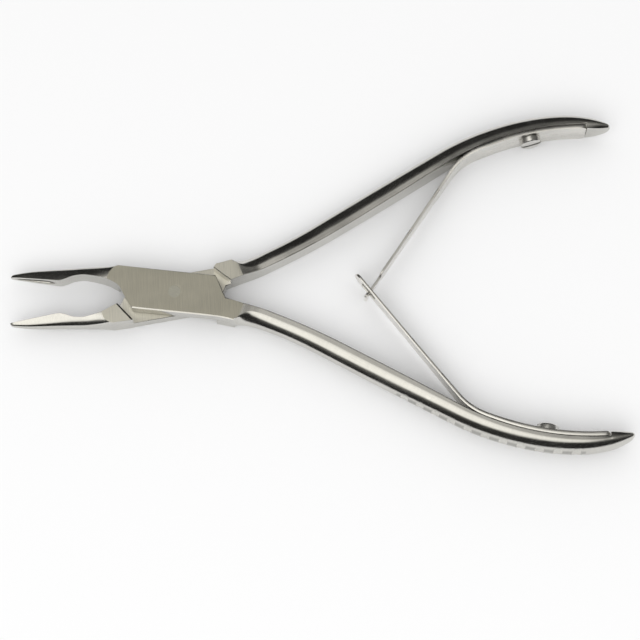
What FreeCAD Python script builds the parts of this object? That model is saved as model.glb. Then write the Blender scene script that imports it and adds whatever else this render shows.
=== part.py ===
import FreeCAD, Part
import math
import os
import Sketcher

# Spring-handled half-lap pliers with slim scooped jaws, in millimetres.
# The rest pose is the open tool.  X runs from the pivot towards the handles, so the jaws
# point along -X.  Y separates the two jaws.  Z is the pivot axis, with z = 0 on the back
# face of the joint, the face the tool lies on.
# Each arm is drawn closed, with its jaw rim on y = 0, and then turned about the pivot.

doc = FreeCAD.newDocument("SpringPliers")
sheet = doc.addObject("Spreadsheet::Sheet", "Dims")

DIMENSIONS = (
    ("half_open", 8.2),
    ("joint_depth", 5.6),
    ("lap_gap", 0.06),
    ("lap_chamfer", 0.35),
    ("rivet_radius", 1.35),
    ("rivet_fit", 0.02),
    ("rivet_play", 0.06),
    ("rim_gap", 0.06),
    ("cup_tip_x", 35.1),
    ("cup_deep_x", 28.4),
    ("cup_end_x", 26.9),
    ("cup_depth", 1.05),
    ("handle_z", 3.1),
    ("edge_bevel", 0.3),
    ("side_bulge", 0.3),
    ("path_x", 11.4),
    ("path_y", 0.26),
    ("path_angle", 11.5),
    ("first_radius", 146.0),
    ("first_turn", 10.55),
    ("straight_run", 28.6),
    ("second_radius", 57.4),
    ("second_turn", 33.35),
    ("shoulder_at", 88.1),
    ("recess_from", 58.0),
    ("recess_width", 3.0),
    ("groove_from", 44.0),
    ("groove_pitch", 3.7),
    ("groove_count", 11),
    ("groove_radius", 1.35),
    ("groove_depth", 0.35),
    ("leaf_thick", 0.9),
    ("leaf_width", 6.0),
    ("leaf_seat", 0.03),
    ("leaf_end_at", 87.4),
    ("lower_leave_at", 61.0),
    ("upper_leave_at", 62.6),
    ("leaf_bend", 14.0),
    ("leaf_corner", 2.4),
    ("lower_blade_angle", 53.9),
    ("upper_blade_angle", 54.6),
    ("blade_thick", 0.75),
    ("blade_play", 0.05),
    ("blade_root_width", 4.8),
    ("blade_tip_width", 3.5),
    ("blade_shoulder", 28.2),
    ("shoulder_slope", 0.8),
    ("tongue_width", 1.5),
    ("hook_from", 33.6),
    ("hook_end", 34.6),
    ("hook_width", 3.1),
    ("window_from", 28.4),
    ("window_end", 32.8),
    ("window_width", 1.96),
    ("eye_end", 35.4),
    ("screw_at", 75.6),
    ("screw_head_radius", 2.3),
    ("screw_head_height", 1.5),
    ("screw_chamfer", 0.25),
    ("screw_slot_width", 0.7),
    ("screw_slot_depth", 0.6),
    ("screw_shank_radius", 1.2),
    ("screw_shank_depth", 2.3),
    ("screw_bore_spare", 0.2),
    ("screw_fit", 0.02),
    ("leaf_hole_play", 0.15),
)
for row, (alias, value) in enumerate(DIMENSIONS, start=1):
    sheet.set("A%d" % row, alias)
    sheet.set("B%d" % row, str(value))
    sheet.setAlias("B%d" % row, alias)
doc.recompute()


def dim(alias):
    return float(sheet.get(alias))


def bind(target, path, formula):
    target.setExpression(path, formula)


# ---------------------------------------------------------------- handle centre path

def path_point(run):
    """Point and slope of a handle's inner face, `run` mm from its start by the joint.

    The face is an arc bending away from the axis, a straight run, an arc bending back,
    and a short straight end.  Y is the distance from the closed tool's axis.
    """
    start = math.radians(dim("path_angle"))
    first = dim("first_radius")
    middle = start + math.radians(dim("first_turn"))
    first_run = first * (middle - start)
    straight = dim("straight_run")
    second = dim("second_radius")
    end = middle - math.radians(dim("second_turn"))
    second_run = second * (middle - end)
    x, y = dim("path_x"), dim("path_y")
    here = start + min(run, first_run) / first
    x += first * (math.sin(here) - math.sin(start))
    y -= first * (math.cos(here) - math.cos(start))
    if run <= first_run:
        return x, y, here
    along = min(run - first_run, straight)
    x += along * math.cos(middle)
    y += along * math.sin(middle)
    if run <= first_run + straight:
        return x, y, middle
    turned = min(run - first_run - straight, second_run) / second
    here = middle - turned
    x -= second * (math.sin(here) - math.sin(middle))
    y += second * (math.cos(here) - math.cos(middle))
    along = max(0.0, run - first_run - straight - second_run)
    return x + along * math.cos(end), y + along * math.sin(end), here


def beside_path(run, out):
    """Point `out` mm outwards (away from the axis) from the inner face."""
    x, y, slope = path_point(run)
    return x - out * math.sin(slope), y + out * math.cos(slope)


def second_centre():
    """Centre of the arc in which the outer half of the handle bends back."""
    bend_start = dim("first_radius") * math.radians(dim("first_turn")) + dim("straight_run")
    return beside_path(bend_start, -dim("second_radius"))


# run along the handle, metal thickness, inner face width, outer face width, lip height
HANDLE_STATIONS = (
    (2.5, 4.3, 5.5, 4.4, 0.0),
    (8.0, 3.5, 6.0, 3.6, 0.0),
    (14.0, 3.5, 6.1, 3.2, 0.0),
    (27.0, 3.8, 6.1, 3.4, 0.0),
    (41.0, 3.9, 6.1, 4.2, 0.0),
    (55.0, 3.85, 6.1, 4.8, 0.0),
    (67.0, 3.65, 6.1, 5.0, 0.0),
    (76.0, 3.5, 6.1, 5.0, 0.25),
    (83.0, 3.2, 6.05, 4.9, 0.6),
    (88.0, 2.55, 5.9, 4.6, 0.85),
    (91.0, 1.75, 5.3, 3.9, 0.75),
    (92.5, 1.05, 4.1, 2.9, 0.55),
    (93.2, 0.5, 2.6, 1.7, 0.3),
)
OUTER_CROWN = 0.45
FULL_WIDTH = 6.1
# largest share of a thin section that a bevel or the crown may take up
BEVEL_SHARE = 1 / 8
CROWN_SHARE = 1 / 3

# distance from the pivot, thickness above the rim, width of the jaw, flat part of its sides
JAW_STATIONS = (
    (36.0, 0.45, 1.1, 0.3),
    (35.0, 0.95, 1.8, 0.3),
    (32.0, 1.78, 2.7, 0.3),
    (28.5, 2.45, 3.5, 0.3),
    (24.0, 3.25, 4.3, 0.3),
    (19.5, 4.05, 5.0, 0.35),
    (16.0, 4.5, 5.4, 0.5),
    (13.6, 4.75, 5.58, 0.8),
    (12.6, 4.8, 5.6, 0.9),
)

# Outline of the half lap, from the throat round to the handle, drawn with the jaw up.
LAP_TOP_START = (-12.9, 4.6)
LAP_BROW = (-14.35, 2.5)
THROAT_TOP = (-14.2, 1.2)
THROAT_TURN = (-12.5, 0.4)
THROAT_MID = (-10.85, -1.7)
THROAT_FOOT = (-8.6, -4.65)
LAP_END_TOP = (8.35, 4.65)
LAP_END_FOOT = (11.4, -0.5)
# Full-depth shoulder by the jaw, and full-depth shoulder by the handle.
JAW_SHOULDER = ((-11.95, 1.3), (-9.75, 4.65))
HEEL_SHOULDER = ((12.35, -0.75), (9.15, -3.95), (9.85, -4.65))
HEEL_FOOT = (14.0, -4.95)
HEEL_BROW = (15.5, -3.9)
HEEL_TOP = (17.8, -2.1)
# Relief behind the cup: the jaw's inner edge rises clear of the rim and falls to the throat.
RELIEF = ((-25.9, 0.0), (-24.2, 0.45), (-22.2, 1.5), (-20.0, 1.95), (-17.2, 1.75))
BELOW_JAW = -2.0
# Height of the cup's outline half way up its slope, as a share of its full depth.
CUP_BOW = 0.62
# Lap edges at least this long are bevelled.
LONG_EDGE = 15.0
ON_PLANE = 1e-6


# ---------------------------------------------------------------- sketch helpers

def origin_plane(body, role):
    for feature in body.Origin.OriginFeatures:
        if feature.Role == role:
            return feature
    raise ValueError(role)


def new_sketch(body, name, role="XY_Plane", offset=None):
    sketch = body.newObject("Sketcher::SketchObject", name)
    sketch.AttachmentSupport = [(origin_plane(body, role), "")]
    sketch.MapMode = "FlatFace"
    if offset is not None:
        sketch.AttachmentOffset = offset
    return sketch


def vec(point):
    return FreeCAD.Vector(point[0], point[1], 0)


def draw(sketch, steps):
    """Closed outline.  Each step is (end,) for a line or (through, end) for an arc."""
    here = steps[-1][-1]
    for step in steps:
        end = step[-1]
        if len(step) == 1:
            sketch.addGeometry(Part.LineSegment(vec(here), vec(end)), False)
        else:
            sketch.addGeometry(Part.Arc(vec(here), vec(step[0]), vec(end)), False)
        here = end


def circle(sketch, centre, radius, alias_formula):
    index = sketch.addGeometry(Part.Circle(vec(centre), FreeCAD.Vector(0, 0, 1), radius), False)
    constraint = sketch.addConstraint(Sketcher.Constraint("Radius", index, radius))
    sketch.setExpression("Constraints[%d]" % constraint, alias_formula)
    return index


def pad(body, name, sketch, formula, symmetric=False):
    feature = body.newObject("PartDesign::Pad", name)
    feature.Profile = sketch
    feature.SideType = "Symmetric" if symmetric else "One side"
    bind(feature, "Length", formula)
    return feature


def cut_through(body, name, sketch):
    feature = body.newObject("PartDesign::Pocket", name)
    feature.Profile = sketch
    feature.SideType = "Symmetric"
    feature.Type = "ThroughAll"
    return feature


def at_height(height):
    return FreeCAD.Placement(FreeCAD.Vector(0, 0, height), FreeCAD.Rotation())


def loft(body, name, sections):
    feature = body.newObject("PartDesign::AdditiveLoft", name)
    feature.Profile = sections[0]
    feature.Sections = sections[1:]
    feature.Ruled = False
    return feature


LEAST_CHANGE = 0.5


def checked(body, before, smaller, what):
    """The feature just made must have changed the body's volume the right way."""
    doc.recompute()
    now = body.Shape.Volume
    if smaller and now > before - LEAST_CHANGE:
        raise ValueError(what + " removed nothing")
    if not smaller and now < before + LEAST_CHANGE:
        raise ValueError(what + " added nothing")
    return now


# ---------------------------------------------------------------- the two arms

def flip(points, hand):
    return [(x, y * hand) for x, y in points]


def outline(hand, steps):
    return [flip(step, hand) for step in steps]


def jaw_section(body, index, station, hand):
    """Round-backed section across a jaw, its flat on the rim plane."""
    distance, thick, width, side_share = station
    middle = dim("joint_depth") / 2
    offset = FreeCAD.Placement(FreeCAD.Vector(0, middle, -distance), FreeCAD.Rotation())
    sketch = new_sketch(body, "JawSection%d" % index, "YZ_Plane", offset)
    rim = dim("rim_gap") * hand
    side = (dim("rim_gap") + thick * side_share) * hand
    crown = (dim("rim_gap") + thick) * hand
    half = width / 2
    draw(sketch, (
        ((rim, half),),
        ((side, half),),
        ((crown, 0), (side, -half)),
        ((rim, -half),),
    ))
    return sketch


def handle_section(body, index, station, hand):
    """Section across a handle: wide flat inner face, bowed sides, crowned outer face."""
    run, thick, inner, outer, lip = station
    x, y, slope = path_point(run)
    turn = FreeCAD.Rotation(FreeCAD.Vector(0, 1, 0), math.degrees(-hand * slope))
    centre = FreeCAD.Vector(-hand * y, dim("handle_z"), x)
    sketch = new_sketch(body, "HandleSection%d" % index, "YZ_Plane", FreeCAD.Placement(centre, turn))
    bevel = min(dim("edge_bevel"), inner * BEVEL_SHARE)
    foot = -lip
    crown_edge = thick - min(OUTER_CROWN, thick * CROWN_SHARE)
    bulge = dim("side_bulge") * inner / FULL_WIDTH
    side_mid = ((inner + outer) / 4 + bulge, (foot + bevel + crown_edge) / 2)

    def spot(across, out):
        return -hand * out, across

    draw(sketch, (
        (spot(inner / 2 - bevel, foot),),
        (spot(inner / 2, foot + bevel),),
        (spot(side_mid[0], side_mid[1]), spot(outer / 2, crown_edge)),
        (spot(0, thick), spot(-outer / 2, crown_edge)),
        (spot(-side_mid[0], side_mid[1]), spot(-inner / 2, foot + bevel)),
        (spot(-inner / 2 + bevel, foot),),
    ))
    return sketch


def thickness_at(run):
    for low, high in zip(HANDLE_STATIONS, HANDLE_STATIONS[1:]):
        if low[0] <= run <= high[0]:
            share = (run - low[0]) / (high[0] - low[0])
            return low[1] + share * (high[1] - low[1])
    raise ValueError(run)


def handle_spot(run, out, hand):
    x, y = beside_path(run, out)
    return x, -hand * y


def make_arm(label, hand, lap_in_front, hole_formula):
    """One arm.  `hand` is +1 with the jaw on +Y (handle on -Y) and -1 the other way round."""
    body = doc.addObject("PartDesign::Body", label)
    body.Label = label
    half_depth = "Dims.joint_depth / 2 - Dims.lap_gap / 2"

    # Half lap: the flat plate that crosses the other arm at the joint.
    lap_base = dim("joint_depth") / 2 + dim("lap_gap") / 2 if lap_in_front else 0.0
    sketch = new_sketch(body, "LapOutline", offset=at_height(lap_base))
    if lap_in_front:
        bind(sketch, "AttachmentOffset.Base.z", "Dims.joint_depth / 2 + Dims.lap_gap / 2")
    draw(sketch, outline(hand, (
        (THROAT_TURN,),
        (THROAT_MID, THROAT_FOOT),
        (HEEL_FOOT,),
        (HEEL_BROW, HEEL_TOP),
        (LAP_END_FOOT,),
        (LAP_END_TOP,),
        (LAP_TOP_START,),
        (LAP_BROW, THROAT_TOP),
    )))
    pad(body, "Lap", sketch, half_depth)
    volume = checked(body, 0.0, False, "lap")

    # Thin bevel round the outer long edges of the lap.
    face_z = dim("joint_depth") if lap_in_front else 0.0
    names = []
    for number, edge in enumerate(body.Shape.Edges, start=1):
        box = edge.BoundBox
        level = abs(box.ZMin - face_z) < ON_PLANE and abs(box.ZMax - face_z) < ON_PLANE
        if level and box.XLength > LONG_EDGE:
            names.append("Edge%d" % number)
    plain_lap = body.Tip
    bevel = body.newObject("PartDesign::Chamfer", "LapBevel")
    bevel.Base = (plain_lap, names)
    bind(bevel, "Size", "Dims.lap_chamfer")
    volume = checked(body, volume, True, "lap bevel")

    # Full-depth root of the jaw, up to the shoulder that faces the other arm.
    sketch = new_sketch(body, "JawRootOutline")
    draw(sketch, outline(hand, (
        (THROAT_TURN,),
        (JAW_SHOULDER[0],),
        (JAW_SHOULDER[1],),
        (LAP_TOP_START,),
        (LAP_BROW, THROAT_TOP),
    )))
    pad(body, "JawRoot", sketch, "Dims.joint_depth")
    volume = checked(body, volume, False, "jaw root")

    # Full-depth heel of the handle, with its own shoulder.
    sketch = new_sketch(body, "HeelOutline")
    draw(sketch, outline(hand, (
        (HEEL_SHOULDER[0],),
        (HEEL_SHOULDER[1],),
        (HEEL_SHOULDER[2],),
        (HEEL_FOOT,),
        (HEEL_BROW, HEEL_TOP),
    )))
    pad(body, "Heel", sketch, "Dims.joint_depth")
    volume = checked(body, volume, False, "heel")

    loft(body, "Handle", [handle_section(body, i, s, hand) for i, s in enumerate(HANDLE_STATIONS)])
    volume = checked(body, volume, False, "handle")
    loft(body, "Jaw", [jaw_section(body, i, s, hand) for i, s in enumerate(JAW_STATIONS)])
    volume = checked(body, volume, False, "jaw")

    # Relief between the cup and the throat.
    sketch = new_sketch(body, "ReliefOutline")
    draw(sketch, outline(hand, (
        (RELIEF[1],),
        (RELIEF[2],),
        (RELIEF[3], RELIEF[4]),
        (THROAT_TOP,),
        (THROAT_TURN,),
        ((THROAT_TURN[0], BELOW_JAW),),
        ((RELIEF[0][0], BELOW_JAW),),
        (RELIEF[0],),
    )))
    cut_through(body, "Relief", sketch)
    volume = checked(body, volume, True, "relief")

    # Scooped cup in the rim, turned about the line where the two jaws meet.
    sketch = new_sketch(body, "CupProfile", offset=at_height(dim("joint_depth") / 2))
    bind(sketch, "AttachmentOffset.Base.z", "Dims.joint_depth / 2")
    tip, deep, end, depth = (dim(n) for n in ("cup_tip_x", "cup_deep_x", "cup_end_x", "cup_depth"))
    quarter = math.sqrt(0.5)
    bow = (-(tip + deep) / 2, depth * CUP_BOW * hand)
    draw(sketch, (
        ((-tip, 0.0),),
        (bow, (-deep, depth * hand)),
        ((-deep + (deep - end) * quarter, depth * quarter * hand), (-end, 0.0)),
    ))
    cup = body.newObject("PartDesign::Groove", "Cup")
    cup.Profile = sketch
    cup.ReferenceAxis = (sketch, ["H_Axis"])
    cup.Angle = 360
    volume = checked(body, volume, True, "cup")

    # Seat for the leaf spring: everything inside the arc of the handle's inner face.
    centre = second_centre()
    middle_run = (dim("recess_from") + dim("shoulder_at")) / 2
    wide = dim("recess_width")
    sketch = new_sketch(body, "SeatOutline")
    draw(sketch, (
        (handle_spot(dim("recess_from"), 0, hand),),
        (handle_spot(middle_run, 0, hand), handle_spot(dim("shoulder_at"), 0, hand)),
        (handle_spot(dim("shoulder_at"), -wide, hand),),
        (handle_spot(middle_run, -wide, hand), handle_spot(dim("recess_from"), -wide, hand)),
    ))
    cut_through(body, "Seat", sketch)
    volume = checked(body, volume, True, "seat")

    # Grip grooves across the outer face.
    sketch = new_sketch(body, "GripGrooves")
    for number in range(int(dim("groove_count"))):
        run = dim("groove_from") + number * dim("groove_pitch")
        out = thickness_at(run) + dim("groove_radius") - dim("groove_depth")
        circle(sketch, handle_spot(run, out, hand), dim("groove_radius"), "Dims.groove_radius")
    cut_through(body, "Grip", sketch)
    volume = checked(body, volume, True, "grip grooves")

    # Pivot hole.
    sketch = new_sketch(body, "PivotHole")
    circle(sketch, (0, 0), dim("rivet_radius"), hole_formula)
    cut_through(body, "Pivot", sketch)
    volume = checked(body, volume, True, "pivot hole")

    # Blind hole for the spring screw, square to the inner face.
    x, y, slope = path_point(dim("screw_at"))
    turn = FreeCAD.Rotation(FreeCAD.Vector(1, 0, 0), 90)
    swing = FreeCAD.Rotation(FreeCAD.Vector(0, 0, 1), math.degrees(-hand * slope))
    mouth = FreeCAD.Vector(x, -hand * y, dim("handle_z"))
    sketch = new_sketch(body, "ScrewHole", "XY_Plane", FreeCAD.Placement(mouth, swing * turn))
    circle(sketch, (0, 0), dim("screw_shank_radius"), "Dims.screw_shank_radius + Dims.screw_fit")
    hole = body.newObject("PartDesign::Pocket", "ScrewBore")
    hole.Profile = sketch
    hole.Reversed = hand > 0
    bind(hole, "Length", "Dims.screw_shank_depth + Dims.screw_bore_spare")
    checked(body, volume, True, "screw hole")

    open_up(body, hand)
    return body


def open_up(body, hand):
    body.Placement = FreeCAD.Placement(
        FreeCAD.Vector(0, 0, 0), FreeCAD.Rotation(FreeCAD.Vector(0, 0, -hand), dim("half_open")))
    bind(body, "Placement.Rotation.Angle", "Dims.half_open")


# ---------------------------------------------------------------- leaf springs

def side_of(hand):
    return "lower_" if hand > 0 else "upper_"


def leaf_hinge(hand):
    """Where the free blade of a leaf starts: middle of the leaf at the end of its bend.

    Returned with the bend's centre and the leaf's slope at both ends of the bend, in the
    closed frame.
    """
    x, y, slope = path_point(dim(side_of(hand) + "leave_at"))
    bend = dim("leaf_bend")
    seat = dim("leaf_seat")
    centre = (x + (bend + seat) * math.sin(slope), y - (bend + seat) * math.cos(slope))
    end = math.radians(dim(side_of(hand) + "blade_angle") - dim("half_open"))
    middle = bend - dim("leaf_thick") / 2
    hinge = (centre[0] - middle * math.sin(end), centre[1] + middle * math.cos(end))
    return hinge, centre, slope, end


def around(centre, radius, slope):
    return centre[0] - radius * math.sin(slope), centre[1] + radius * math.cos(slope)


def make_leaf_root(label, hand):
    """Clamped part of a leaf: lies on the handle, then bends away from it."""
    body = doc.addObject("PartDesign::Body", label)
    body.Label = label
    hinge, bend_centre, leave, end = leaf_hinge(hand)
    centre = second_centre()
    thick = dim("leaf_thick")
    outer = dim("second_radius") - dim("leaf_seat")
    bend = dim("leaf_bend")
    start = path_point(dim("leaf_end_at"))[2]
    nose = (hinge[0] - thick / 2 * math.cos(end), hinge[1] - thick / 2 * math.sin(end))
    points = (
        around(centre, outer, start),
        around(centre, outer, (start + leave) / 2),
        around(centre, outer, leave),
        around(bend_centre, bend, (leave + end) / 2),
        around(bend_centre, bend, end),
        nose,
        around(bend_centre, bend - thick, end),
        around(bend_centre, bend - thick, (leave + end) / 2),
        around(bend_centre, bend - thick, leave),
        around(centre, outer - thick, (start + leave) / 2),
        around(centre, outer - thick, start),
    )
    p = flip(points, -hand)
    height = at_height(dim("handle_z"))
    sketch = new_sketch(body, "LeafOutline", offset=height)
    bind(sketch, "AttachmentOffset.Base.z", "Dims.handle_z")
    draw(sketch, (
        (p[0],), (p[1], p[2]), (p[3], p[4]), (p[5], p[6]), (p[7], p[8]), (p[9], p[10]),
    ))
    pad(body, "Leaf", sketch, "Dims.leaf_width", symmetric=True)
    volume = checked(body, 0.0, False, "leaf")

    # Rounded corners at the fixed end.
    names = []
    end_x = min(points[0][0], points[-1][0]) - ON_PLANE
    for number, edge in enumerate(body.Shape.Edges, start=1):
        box = edge.BoundBox
        across_leaf = box.ZLength < ON_PLANE and edge.Length < 2 * thick
        if across_leaf and box.XMin > end_x:
            names.append("Edge%d" % number)
    plain_leaf = body.Tip
    corner = body.newObject("PartDesign::Fillet", "RoundEnd")
    corner.Base = (plain_leaf, names)
    bind(corner, "Radius", "Dims.leaf_corner")
    volume = checked(body, volume, True, "round end")

    # Screw hole.
    x, y, slope = path_point(dim("screw_at"))
    turn = FreeCAD.Rotation(FreeCAD.Vector(1, 0, 0), 90)
    swing = FreeCAD.Rotation(FreeCAD.Vector(0, 0, 1), math.degrees(-hand * slope))
    spot = FreeCAD.Vector(x, -hand * y, dim("handle_z"))
    sketch = new_sketch(body, "LeafHole", "XY_Plane", FreeCAD.Placement(spot, swing * turn))
    circle(sketch, (0, 0), dim("screw_shank_radius"), "Dims.screw_shank_radius + Dims.leaf_hole_play")
    cut_through(body, "LeafBore", sketch)
    checked(body, volume, True, "leaf hole")
    open_up(body, hand)
    return body


def make_blade(label, hand, hooked):
    """Free blade of a leaf, drawn flat from its root at x = 0.

    One blade ends in a narrow tongue with a cross bar, the other in an eye whose window
    the tongue passes through.
    """
    body = doc.addObject("PartDesign::Body", label)
    body.Label = label
    thick = dim("blade_thick")
    root = dim("blade_root_width") / 2
    play = dim("leaf_thick") / 2 + dim("blade_play")
    end = dim("hook_from") if hooked else dim("eye_end")
    tip = dim("blade_tip_width") / 2
    sketch = new_sketch(body, "BladeOutline")
    if hooked:
        slim = dim("tongue_width") / 2
        neck = dim("blade_shoulder")
        bar = dim("hook_width") / 2
        far = dim("hook_end")
        ease = dim("shoulder_slope")
        half = ((0, root), (neck, tip), (neck + ease, slim), (end, slim), (end, bar), (far, bar))
        steps = [(q,) for q in half] + [((x, -y),) for x, y in reversed(half)]
        draw(sketch, steps)
    else:
        draw(sketch, (
            ((0, -root),), ((end - tip, -tip),), ((end, 0), (end - tip, tip)), ((0, root),),
        ))
    pad(body, "Blade", sketch, "Dims.blade_thick", symmetric=True)
    volume = checked(body, 0.0, False, "blade")

    # Round hollow across the root, clear of the clamped part's rounded nose.
    sketch = new_sketch(body, "RootHollow", "XZ_Plane")
    circle(sketch, (0, 0), play, "Dims.leaf_thick / 2 + Dims.blade_play")
    cut_through(body, "Hollow", sketch)
    volume = checked(body, volume, True, "root hollow")

    if not hooked:
        low, high = dim("window_from"), dim("window_end")
        side = dim("window_width") / 2
        sketch = new_sketch(body, "WindowOutline")
        draw(sketch, (((low, -side),), ((high, -side),), ((high, side),), ((low, side),)))
        cut_through(body, "Window", sketch)
        checked(body, volume, True, "window")

    hinge = leaf_hinge(hand)[0]
    opened = math.radians(dim("half_open"))
    x = hinge[0] * math.cos(opened) - hinge[1] * math.sin(opened)
    y = hinge[0] * math.sin(opened) + hinge[1] * math.cos(opened)
    slope = math.radians(dim(side_of(hand) + "blade_angle"))
    along = FreeCAD.Vector(-math.cos(slope), hand * math.sin(slope), 0)
    across = FreeCAD.Vector(0, 0, 1)
    body.Placement = FreeCAD.Placement(
        FreeCAD.Vector(x, -hand * y, dim("handle_z")),
        FreeCAD.Rotation(along, across, along.cross(across), "XYZ"))
    return body


# ---------------------------------------------------------------- rivet and screws

def make_rivet(label):
    body = doc.addObject("PartDesign::Body", label)
    body.Label = label
    sketch = new_sketch(body, "RivetCircle")
    circle(sketch, (0, 0), dim("rivet_radius"), "Dims.rivet_radius")
    pad(body, "Shank", sketch, "Dims.joint_depth")
    checked(body, 0.0, False, "rivet")
    return body


def make_screw(label, hand):
    """Slotted cheese-head screw that clamps a leaf, drawn with its axis along +Z."""
    body = doc.addObject("PartDesign::Body", label)
    body.Label = label
    under = dim("leaf_seat") * 2 + dim("leaf_thick")
    head, height = dim("screw_head_radius"), dim("screw_head_height")
    shank, deep = dim("screw_shank_radius"), dim("screw_shank_depth")
    bevel = dim("screw_chamfer")
    sketch = new_sketch(body, "ScrewProfile", "XZ_Plane")
    draw(sketch, (
        ((0, -deep),), ((shank - bevel, -deep),), ((shank, -deep + bevel),), ((shank, under),),
        ((head, under),), ((head, under + height - bevel),), ((head - bevel, under + height),),
        ((0, under + height),),
    ))
    turned = body.newObject("PartDesign::Revolution", "Turned")
    turned.Profile = sketch
    turned.ReferenceAxis = (sketch, ["V_Axis"])
    turned.Angle = 360
    volume = checked(body, 0.0, False, "screw")

    sketch = new_sketch(body, "SlotOutline", offset=at_height(under + height))
    half = dim("screw_slot_width") / 2
    reach = 2 * head
    draw(sketch, (((-reach, -half),), ((reach, -half),), ((reach, half),), ((-reach, half),)))
    slot = body.newObject("PartDesign::Pocket", "Slot")
    slot.Profile = sketch
    bind(slot, "Length", "Dims.screw_slot_depth")
    checked(body, volume, True, "screw slot")

    x, y, slope = path_point(dim("screw_at"))
    opened = math.radians(dim("half_open"))
    rest_x = x * math.cos(opened) - y * math.sin(opened)
    rest_y = x * math.sin(opened) + y * math.cos(opened)
    tilt = slope + opened
    inwards = FreeCAD.Vector(math.sin(tilt), hand * math.cos(tilt), 0)
    across = FreeCAD.Vector(0, 0, 1)
    body.Placement = FreeCAD.Placement(
        FreeCAD.Vector(rest_x, -hand * rest_y, dim("handle_z")),
        FreeCAD.Rotation(across.cross(inwards), across, inwards, "ZXY"))
    return body


HAND_A = 1
HAND_B = -1
bodies = [
    make_arm("arm_front", HAND_A, True, "Dims.rivet_radius + Dims.rivet_fit"),
    make_arm("arm_rear", HAND_B, False, "Dims.rivet_radius + Dims.rivet_play"),
    make_rivet("pivot_rivet"),
    make_leaf_root("spring_lower_root", HAND_A),
    make_leaf_root("spring_upper_root", HAND_B),
    make_blade("spring_lower_blade", HAND_A, False),
    make_blade("spring_upper_blade", HAND_B, True),
    make_screw("screw_lower", HAND_A),
    make_screw("screw_upper", HAND_B),
]
doc.recompute()

for item in doc.Objects:
    if "Invalid" in item.State or "Error" in item.State:
        raise ValueError("%s is in a bad state: %s" % (item.Name, item.State))
os.makedirs("parts", exist_ok=True)
for body in bodies:
    shape = body.Shape
    if shape.isNull() or not shape.isValid() or len(shape.Solids) != 1:
        raise ValueError(body.Label + " is not one valid solid")
    shape.exportStep("parts/%s.step" % body.Label)
    box = shape.BoundBox
    print("%-20s %.1f mm3  x %.2f..%.2f  y %.2f..%.2f  z %.2f..%.2f" % (
        body.Label, shape.Volume, box.XMin, box.XMax, box.YMin, box.YMax, box.ZMin, box.ZMax))
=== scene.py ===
import math

import bmesh
import bpy
from mathutils import Matrix, Vector


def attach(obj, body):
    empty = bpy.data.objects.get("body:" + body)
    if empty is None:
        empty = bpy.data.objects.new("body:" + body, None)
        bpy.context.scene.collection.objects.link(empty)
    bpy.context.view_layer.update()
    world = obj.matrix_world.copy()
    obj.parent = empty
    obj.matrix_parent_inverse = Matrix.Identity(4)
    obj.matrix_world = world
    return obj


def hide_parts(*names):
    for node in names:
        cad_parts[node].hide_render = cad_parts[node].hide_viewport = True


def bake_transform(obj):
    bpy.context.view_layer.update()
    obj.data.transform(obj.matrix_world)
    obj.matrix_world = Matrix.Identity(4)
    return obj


# Spring-handled half-lap pliers.  Shapes are worked out in millimetres in the closed
# position of each arm, with the arm's jaw on +Y, then turned and mirrored to the rest pose.

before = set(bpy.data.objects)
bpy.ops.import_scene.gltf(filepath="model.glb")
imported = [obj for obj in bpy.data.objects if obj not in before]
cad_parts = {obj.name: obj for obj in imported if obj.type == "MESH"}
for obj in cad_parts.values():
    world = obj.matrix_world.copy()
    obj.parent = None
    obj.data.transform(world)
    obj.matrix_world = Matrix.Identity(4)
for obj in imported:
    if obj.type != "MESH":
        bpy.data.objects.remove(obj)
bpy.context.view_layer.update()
scene = bpy.context.scene
MM = 0.001

# ---------------------------------------------------------------- sizes, millimetres
# HALF_OPEN is the turn of each arm from the closed position to the rest pose.
HALF_OPEN = math.radians(8.2)
DEPTH = 5.6
MIDDLE = DEPTH / 2
LAP_GAP = 0.06
FRONT_ARM = 1
REAR_ARM = -1

# The inner face of a handle: a bow outwards, a straight run, then a bow back inwards.
PATH_START = (11.4, 0.26)
PATH_ANGLE = math.radians(11.5)
FIRST_RADIUS = 146.0
FIRST_TURN = math.radians(10.55)
STRAIGHT_RUN = 28.6
SECOND_RADIUS = 57.4
SECOND_TURN = math.radians(33.35)
HANDLE_Z = 3.1

# A face counts as level above this Z of its normal.  Below LEAST_CREASE an edge stays smooth.
LEVEL = 0.99999
LEAST_CREASE = math.radians(4)
WELD = 1e-7


def clamp(value, low=0.0, high=1.0):
    return max(low, min(high, value))


def smooth(value, low=0.0, high=1.0):
    t = clamp((value - low) / (high - low))
    return t * t * (3 - 2 * t)


def mix(a, b, share):
    return a + (b - a) * share


def table(rows, at, column=1):
    """Smooth value between the rows of a table sorted by its first column."""
    if at <= rows[0][0]:
        return rows[0][column]
    if at >= rows[-1][0]:
        return rows[-1][column]
    last = len(rows) - 1
    k = next(i for i in range(last) if rows[i][0] <= at <= rows[i + 1][0])
    x0, x1 = rows[k][0], rows[k + 1][0]
    y0, y1 = rows[k][column], rows[k + 1][column]

    def slope(i):
        if i == 0 or i == last:
            j = min(i, last - 1)
            return (rows[j + 1][column] - rows[j][column]) / (rows[j + 1][0] - rows[j][0])
        d0 = (rows[i][column] - rows[i - 1][column]) / (rows[i][0] - rows[i - 1][0])
        d1 = (rows[i + 1][column] - rows[i][column]) / (rows[i + 1][0] - rows[i][0])
        return 0.0 if d0 * d1 <= 0 else 2 * d0 * d1 / (d0 + d1)

    h = x1 - x0
    t = (at - x0) / h
    return ((2 * t**3 - 3 * t**2 + 1) * y0 + (t**3 - 2 * t**2 + t) * h * slope(k)
            + (3 * t**2 - 2 * t**3) * y1 + (t**3 - t**2) * h * slope(k + 1))


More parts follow.
